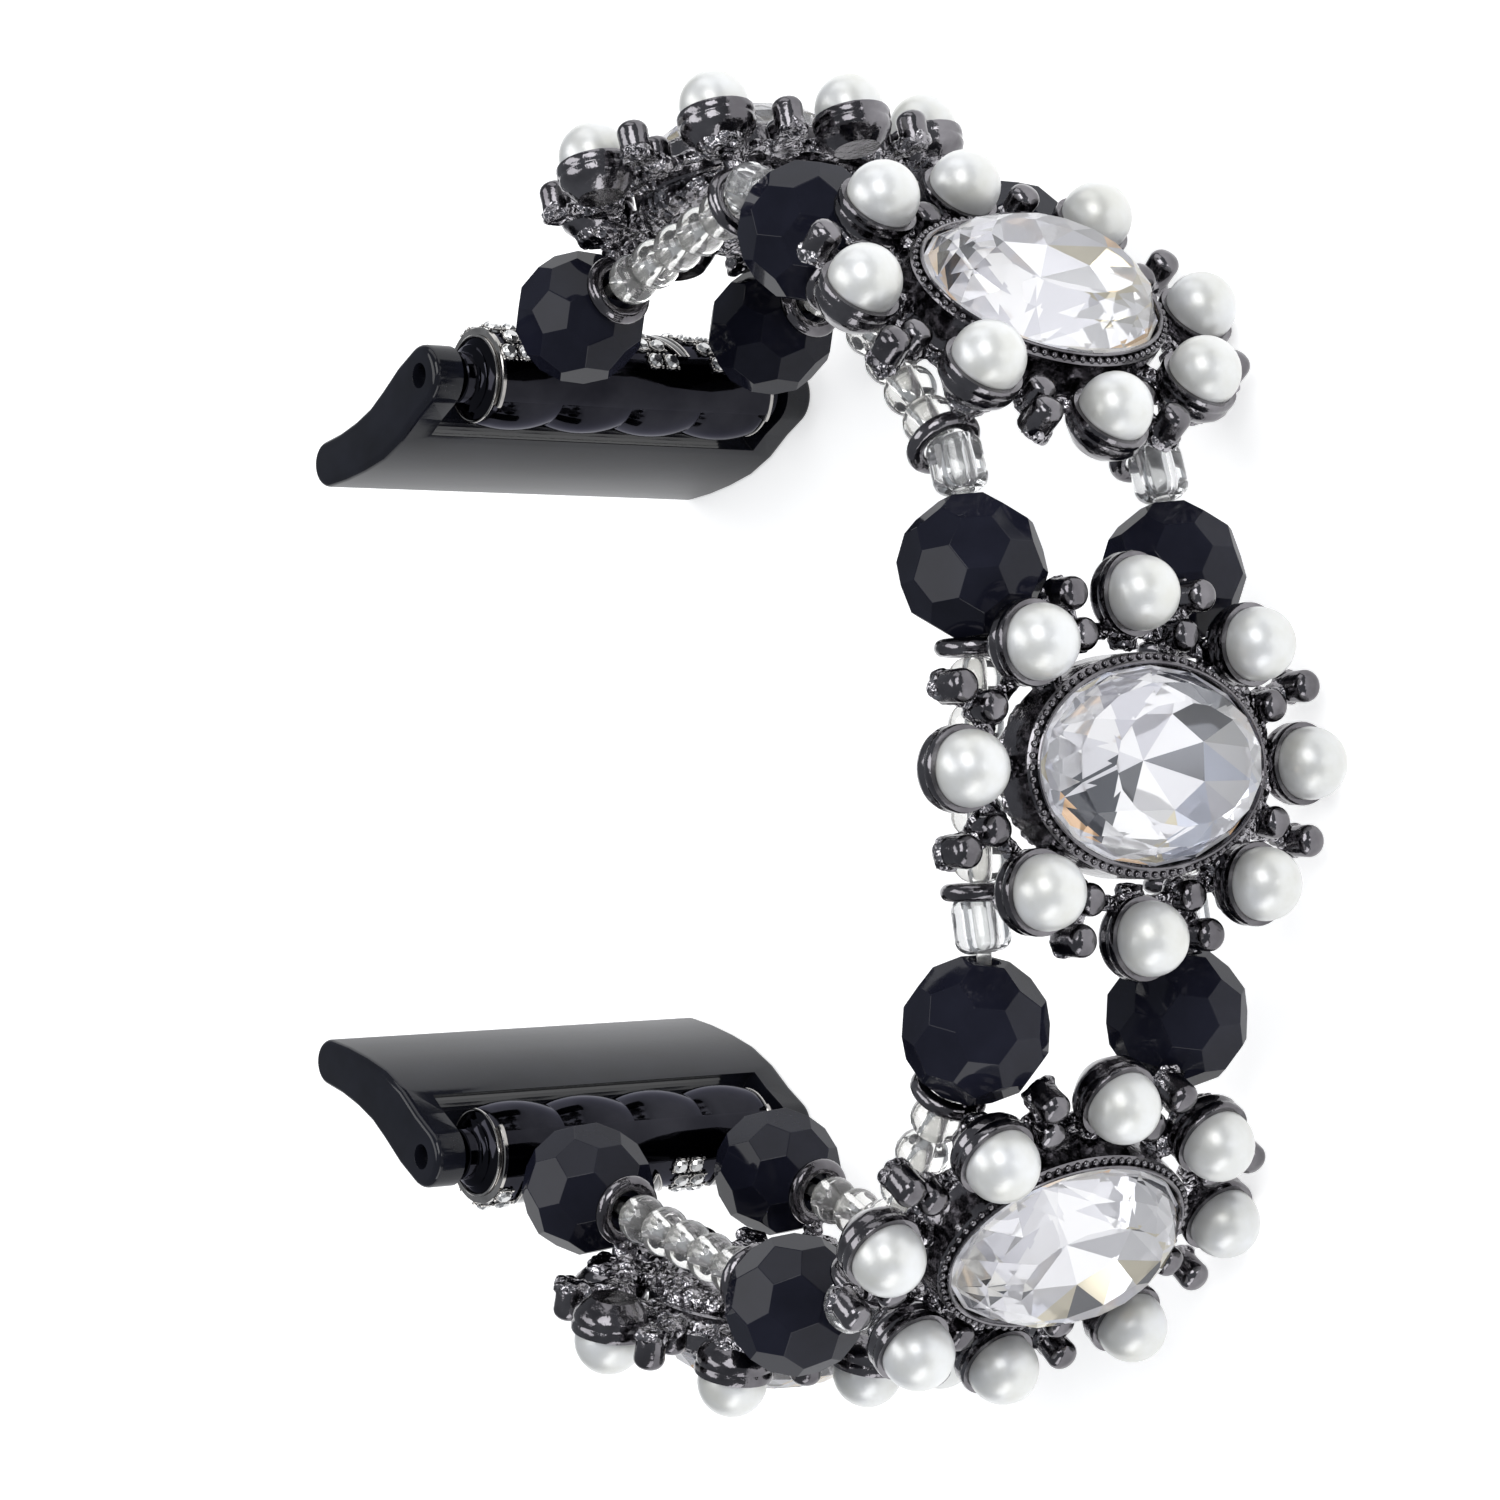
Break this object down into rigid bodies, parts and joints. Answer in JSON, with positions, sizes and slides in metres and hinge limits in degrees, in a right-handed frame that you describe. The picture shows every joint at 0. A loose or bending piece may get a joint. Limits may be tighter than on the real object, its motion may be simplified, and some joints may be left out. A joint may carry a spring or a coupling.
{
  "type": "beaded stretch watch band",
  "caption": "Stretch watch band of jewelled oval medallions and black faceted beads on elastic strands, with hinged lug adapters",
  "frame": {"origin": "middle of the underside of the whole band as it lies on its side", "axes": "+Z across the band's width, along the hinge pins; +X from the watch's side of the loop towards the middle medallion; +Y from the bottom adapter to the top adapter"},
  "size_m": [0.0654, 0.0766, 0.0284],
  "materials": {
    "gunmetal_casting": "polished dark gunmetal plating over an openwork casting",
    "clear_crystal": "clear faceted crystal",
    "pearl": "pearl lacquer with a soft lustre",
    "seed_glass": "clear glass, slightly yellow",
    "elastic_cord": "clear elastic cord",
    "black_glass": "opaque black glass, cut and polished",
    "clear_glass": "clear glass",
    "polished_gunmetal": "mirror-polished dark gunmetal plating",
    "crimp_metal": "plain crimped metal",
    "rhinestone": "small clear cut stones",
    "black_enamel": "glossy black enamel",
    "satin_black": "satin black coating",
    "pin_steel": "darkened steel pin"
  },
  "bodies": {
    "medallion_1": {"medallion_1_casting": "gunmetal_casting", "medallion_1_crystal": "clear_crystal", "medallion_1_pearls": "pearl", "medallion_1_seed_beads": "seed_glass", "medallion_1_elastic": "elastic_cord"},
    "medallion_2": {"medallion_2_casting": "gunmetal_casting", "medallion_2_crystal": "clear_crystal", "medallion_2_pearls": "pearl", "medallion_2_seed_beads": "seed_glass", "medallion_2_elastic": "elastic_cord"},
    "medallion_3": {"medallion_3_casting": "gunmetal_casting", "medallion_3_crystal": "clear_crystal", "medallion_3_pearls": "pearl", "medallion_3_seed_beads": "seed_glass", "medallion_3_elastic": "elastic_cord"},
    "medallion_4": {"medallion_4_casting": "gunmetal_casting", "medallion_4_crystal": "clear_crystal", "medallion_4_pearls": "pearl", "medallion_4_seed_beads": "seed_glass", "medallion_4_elastic": "elastic_cord"},
    "medallion_5": {"medallion_5_casting": "gunmetal_casting", "medallion_5_crystal": "clear_crystal", "medallion_5_pearls": "pearl", "medallion_5_seed_beads": "seed_glass", "medallion_5_elastic": "elastic_cord"},
    "gap_23_strand": {"gap_23_elastic": "elastic_cord"},
    "gap_23_barrels": {"gap_23_clear_barrels": "clear_glass"},
    "gap_23_near_bead": {"gap_23_near_bead": "black_glass"},
    "gap_23_far_bead": {"gap_23_far_bead": "black_glass"},
    "gap_12_strand": {"gap_12_elastic": "elastic_cord"},
    "gap_12_barrels": {"gap_12_clear_barrels": "clear_glass"},
    "gap_12_near_bead": {"gap_12_near_bead": "black_glass"},
    "gap_12_far_bead": {"gap_12_far_bead": "black_glass"},
    "gap_34_strand": {"gap_34_elastic": "elastic_cord"},
    "gap_34_barrels": {"gap_34_clear_barrels": "clear_glass"},
    "gap_34_near_bead": {"gap_34_near_bead": "black_glass"},
    "gap_34_far_bead": {"gap_34_far_bead": "black_glass"},
    "gap_45_strand": {"gap_45_elastic": "elastic_cord"},
    "gap_45_barrels": {"gap_45_clear_barrels": "clear_glass"},
    "gap_45_near_bead": {"gap_45_near_bead": "black_glass"},
    "gap_45_far_bead": {"gap_45_far_bead": "black_glass"},
    "top_strand": {"top_end_elastic": "elastic_cord"},
    "top_tube": {"top_end_tube": "polished_gunmetal", "top_cord_crimps": "crimp_metal", "top_rhinestones": "rhinestone", "top_enamel_stripes": "black_enamel"},
    "top_adapter": {"top_lug_adapter": "satin_black", "top_hinge_pin": "pin_steel"},
    "top_near_bead": {"top_near_bead": "black_glass"},
    "top_far_bead": {"top_far_bead": "black_glass"},
    "bottom_strand": {"bottom_end_elastic": "elastic_cord"},
    "bottom_tube": {"bottom_end_tube": "polished_gunmetal", "bottom_cord_crimps": "crimp_metal", "bottom_rhinestones": "rhinestone", "bottom_enamel_stripes": "black_enamel"},
    "bottom_adapter": {"bottom_lug_adapter": "satin_black", "bottom_hinge_pin": "pin_steel"},
    "bottom_near_bead": {"bottom_near_bead": "black_glass"},
    "bottom_far_bead": {"bottom_far_bead": "black_glass"}
  },
  "joints": [
    {"name": "gap_23_bead_bend", "type": "hinge", "parent": "medallion_3", "child": "gap_23_strand", "pos_m": [0.02383, 0.00939, 0.0142], "axis": [0, 0, 1], "range_deg": [-10.5, 15]},
    {"name": "gap_23_stretch", "type": "slide", "parent": "gap_23_strand", "child": "gap_23_barrels", "axis": [-0.3317, 0.9434, 0], "range_m": [0, 0.0025], "stiffness_N_per_m": 60},
    {"name": "gap_23_barrel_bend", "type": "hinge", "parent": "gap_23_barrels", "child": "medallion_2", "pos_m": [0.02257, 0.01485, 0.0142], "axis": [0, 0, 1], "range_deg": [-31, 15]},
    {"name": "gap_23_near_spin", "type": "hinge", "parent": "gap_23_strand", "child": "gap_23_near_bead", "pos_m": [0.02383, 0.00939, 0.0213], "axis": [-0.1711, 0.9853, 0], "continuous": true},
    {"name": "gap_23_far_spin", "type": "hinge", "parent": "gap_23_strand", "child": "gap_23_far_bead", "pos_m": [0.02383, 0.00939, 0.0071], "axis": [-0.1711, 0.9853, 0], "continuous": true},
    {"name": "gap_12_bead_bend", "type": "hinge", "parent": "medallion_2", "child": "gap_12_strand", "pos_m": [0.00961, 0.02827, 0.0142], "axis": [0, 0, 1], "range_deg": [-17, 15]},
    {"name": "gap_12_stretch", "type": "slide", "parent": "gap_12_strand", "child": "gap_12_barrels", "axis": [-0.9466, 0.3225, 0], "range_m": [0, 0.0025], "stiffness_N_per_m": 60},
    {"name": "gap_12_barrel_bend", "type": "hinge", "parent": "gap_12_barrels", "child": "medallion_1", "pos_m": [0.00471, 0.03099, 0.0142], "axis": [0, 0, 1], "range_deg": [-47, 15]},
    {"name": "gap_12_near_spin", "type": "hinge", "parent": "gap_12_strand", "child": "gap_12_near_bead", "pos_m": [0.00961, 0.02827, 0.0213], "axis": [-0.8281, 0.5606, 0], "continuous": true},
    {"name": "gap_12_far_spin", "type": "hinge", "parent": "gap_12_strand", "child": "gap_12_far_bead", "pos_m": [0.00961, 0.02827, 0.0071], "axis": [-0.8281, 0.5606, 0], "continuous": true},
    {"name": "gap_34_barrel_bend", "type": "hinge", "parent": "medallion_3", "child": "gap_34_barrels", "pos_m": [0.02464, -0.00925, 0.0142], "axis": [0, 0, 1], "range_deg": [-15, 6.5]},
    {"name": "gap_34_stretch", "type": "slide", "parent": "gap_34_barrels", "child": "gap_34_strand", "axis": [0.2191, -0.9757, 0], "range_m": [0, 0.0025], "stiffness_N_per_m": 60},
    {"name": "gap_34_bead_bend", "type": "hinge", "parent": "gap_34_strand", "child": "medallion_4", "pos_m": [0.02425, -0.01483, 0.0142], "axis": [0, 0, 1], "range_deg": [-15, 28.8]},
    {"name": "gap_34_near_spin", "type": "hinge", "parent": "gap_34_strand", "child": "gap_34_near_bead", "pos_m": [0.02425, -0.01483, 0.0213], "axis": [0.2188, 0.9758, 0], "continuous": true},
    {"name": "gap_34_far_spin", "type": "hinge", "parent": "gap_34_strand", "child": "gap_34_far_bead", "pos_m": [0.02425, -0.01483, 0.0071], "axis": [0.2188, 0.9758, 0], "continuous": true},
    {"name": "gap_45_barrel_bend", "type": "hinge", "parent": "medallion_4", "child": "gap_45_barrels", "pos_m": [0.01414, -0.03052, 0.0142], "axis": [0, 0, 1], "range_deg": [-15, 49.2]},
    {"name": "gap_45_stretch", "type": "slide", "parent": "gap_45_barrels", "child": "gap_45_strand", "axis": [-0.9417, -0.3366, 0], "range_m": [0, 0.0025], "stiffness_N_per_m": 60},
    {"name": "gap_45_bead_bend", "type": "hinge", "parent": "gap_45_strand", "child": "medallion_5", "pos_m": [0.0086, -0.0313, 0.0142], "axis": [0, 0, 1], "range_deg": [-15, 19.6]},
    {"name": "gap_45_near_spin", "type": "hinge", "parent": "gap_45_strand", "child": "gap_45_near_bead", "pos_m": [0.0086, -0.0313, 0.0213], "axis": [0.9993, 0.037, 0], "continuous": true},
    {"name": "gap_45_far_spin", "type": "hinge", "parent": "gap_45_strand", "child": "gap_45_far_bead", "pos_m": [0.0086, -0.0313, 0.0071], "axis": [0.9993, 0.037, 0], "continuous": true},
    {"name": "top_bead_bend", "type": "hinge", "parent": "medallion_1", "child": "top_strand", "pos_m": [-0.01303, 0.02522, 0.0142], "axis": [0, 0, 1], "range_deg": [-8, 15]},
    {"name": "top_stretch", "type": "slide", "parent": "top_strand", "child": "top_tube", "axis": [-0.8807, -0.4736, 0], "range_m": [0, 0.0018], "stiffness_N_per_m": 60},
    {"name": "top_pin_hinge", "type": "hinge", "parent": "top_tube", "child": "top_adapter", "pos_m": [-0.01997, 0.02184, 0.0142], "axis": [0, 0, 1], "range_deg": [-45, 45]},
    {"name": "top_near_spin", "type": "hinge", "parent": "top_strand", "child": "top_near_bead", "pos_m": [-0.01303, 0.02522, 0.0213], "axis": [-0.9164, -0.4003, 0], "continuous": true},
    {"name": "top_far_spin", "type": "hinge", "parent": "top_strand", "child": "top_far_bead", "pos_m": [-0.01303, 0.02522, 0.0071], "axis": [-0.9164, -0.4003, 0], "continuous": true},
    {"name": "bottom_bead_bend", "type": "hinge", "parent": "medallion_5", "child": "bottom_strand", "pos_m": [-0.01216, -0.02704, 0.0142], "axis": [0, 0, 1], "range_deg": [-15, 0.9]},
    {"name": "bottom_stretch", "type": "slide", "parent": "bottom_strand", "child": "bottom_tube", "axis": [-0.9753, 0.2208, 0], "range_m": [0, 0.0018], "stiffness_N_per_m": 60},
    {"name": "bottom_pin_hinge", "type": "hinge", "parent": "bottom_tube", "child": "bottom_adapter", "pos_m": [-0.0197, -0.02537, 0.0142], "axis": [0, 0, 1], "range_deg": [-45, 45]},
    {"name": "bottom_near_spin", "type": "hinge", "parent": "bottom_strand", "child": "bottom_near_bead", "pos_m": [-0.01216, -0.02704, 0.0213], "axis": [0.9773, -0.2118, 0], "continuous": true},
    {"name": "bottom_far_spin", "type": "hinge", "parent": "bottom_strand", "child": "bottom_far_bead", "pos_m": [-0.01216, -0.02704, 0.0071], "axis": [0.9773, -0.2118, 0], "continuous": true}
  ],
  "couplings": [
    {"joint": "gap_12_stretch", "follows": "gap_23_stretch", "ratio": 1},
    {"joint": "gap_34_stretch", "follows": "gap_23_stretch", "ratio": 1},
    {"joint": "gap_45_stretch", "follows": "gap_23_stretch", "ratio": 1},
    {"joint": "top_stretch", "follows": "gap_23_stretch", "ratio": 0.72},
    {"joint": "bottom_stretch", "follows": "gap_23_stretch", "ratio": 0.72}
  ]
}
